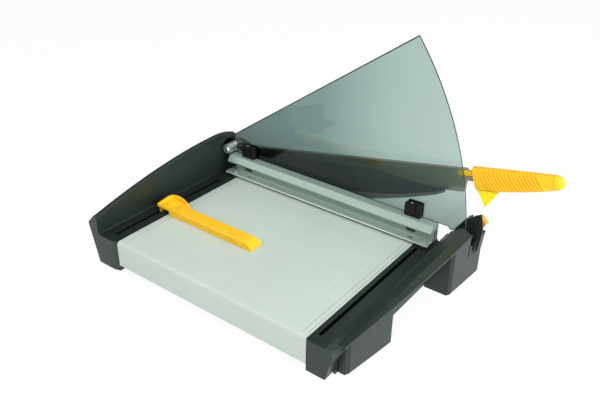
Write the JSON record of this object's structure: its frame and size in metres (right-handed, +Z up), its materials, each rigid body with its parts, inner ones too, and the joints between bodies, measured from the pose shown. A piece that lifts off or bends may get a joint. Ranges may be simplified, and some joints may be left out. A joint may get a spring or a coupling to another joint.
{
  "type": "paper cutter",
  "caption": "Desk guillotine for paper: flat bed, lever blade on a pivot, sprung clamp with clear hand guard, sliding paper guide and arm latch.",
  "frame": {"origin": "middle of the footprint, on the surface it stands on", "axes": "+X towards the blade, +Y away from the user along the cut, +Z up"},
  "size_m": [0.3722, 0.6448, 0.3864],
  "materials": {
    "black_plastic": "moulded, smooth",
    "bed_paint": "pale grey-green powder paint, satin",
    "zinc_steel": "zinc plated",
    "blade_steel": "ground, lightly oiled",
    "clamp_aluminium": "extruded, satin anodised",
    "arm_paint": "dark grey paint, satin",
    "yellow_plastic": "moulded, fine texture",
    "fin_plastic": "moulded, smooth",
    "orange_plastic": "moulded, smooth",
    "guard_plastic": "clear tinted sheet, polished",
    "rubber": "matt"
  },
  "bodies": {
    "base": {"bed_plate": "bed_paint", "bed_rib_near": "zinc_steel", "bed_rib_middle": "zinc_steel", "bed_rib_far": "zinc_steel", "counter_blade": "blade_steel", "counter_screw_1": "zinc_steel", "counter_screw_2": "zinc_steel", "counter_screw_3": "zinc_steel", "counter_screw_4": "zinc_steel", "near_rail": "black_plastic", "far_rail": "black_plastic", "near_rail_screw_1": "zinc_steel", "far_rail_screw_1": "zinc_steel", "near_rail_screw_2": "zinc_steel", "far_rail_screw_2": "zinc_steel", "near_foot_left": "black_plastic", "near_foot_right": "black_plastic", "rubber_foot_1": "rubber", "rubber_foot_2": "rubber", "rubber_foot_3": "rubber", "rubber_foot_4": "rubber", "arm_stop_pad": "rubber", "pivot_housing": "zinc_steel", "pivot_bolt": "zinc_steel", "pivot_spacer": "zinc_steel", "pivot_washer": "zinc_steel", "pivot_nut": "zinc_steel", "guide_screw_near": "zinc_steel", "guide_screw_far": "zinc_steel", "clamp_spring_near": "zinc_steel", "clamp_spring_far": "zinc_steel"},
    "arm": {"arm_bar": "arm_paint", "blade": "blade_steel", "blade_screw_1": "zinc_steel", "blade_screw_2": "zinc_steel", "blade_screw_3": "zinc_steel", "blade_screw_4": "zinc_steel", "handle_grip": "yellow_plastic", "handle_cap": "yellow_plastic", "handle_screw_1": "zinc_steel", "handle_screw_2": "zinc_steel", "thumb_tongue": "yellow_plastic", "finger_fin": "fin_plastic"},
    "clamp": {"clamp_bar": "clamp_aluminium", "guard_sheet": "guard_plastic", "guard_bracket_near": "black_plastic", "guard_bracket_far": "black_plastic", "bracket_screw_near": "zinc_steel", "bracket_screw_far": "zinc_steel"},
    "guide": {"paper_guide": "yellow_plastic", "guide_plate": "zinc_steel", "guide_plate_screw": "zinc_steel"},
    "latch": {"arm_latch": "orange_plastic", "latch_bolt": "black_plastic"}
  },
  "joints": [
    {"name": "arm_hinge", "type": "hinge", "parent": "base", "child": "arm", "pos_m": [0.15395, 0.28936, 0.104], "axis": [-1, 0, 0], "range_deg": [-11.2, 45]},
    {"name": "clamp_press", "type": "slide", "parent": "base", "child": "clamp", "axis": [0, 0, -1], "range_m": [0, 0.0045], "stiffness_N_per_m": 2500, "springref_m": -0.008, "deforming": ["clamp_spring_near", "clamp_spring_far"]},
    {"name": "guide_slide", "type": "slide", "parent": "base", "child": "guide", "axis": [1, 0, 0], "range_m": [-0.096, 0.124]},
    {"name": "latch_slide", "type": "slide", "parent": "base", "child": "latch", "axis": [-1, 0, 0], "range_m": [0, 0.0065]}
  ]
}
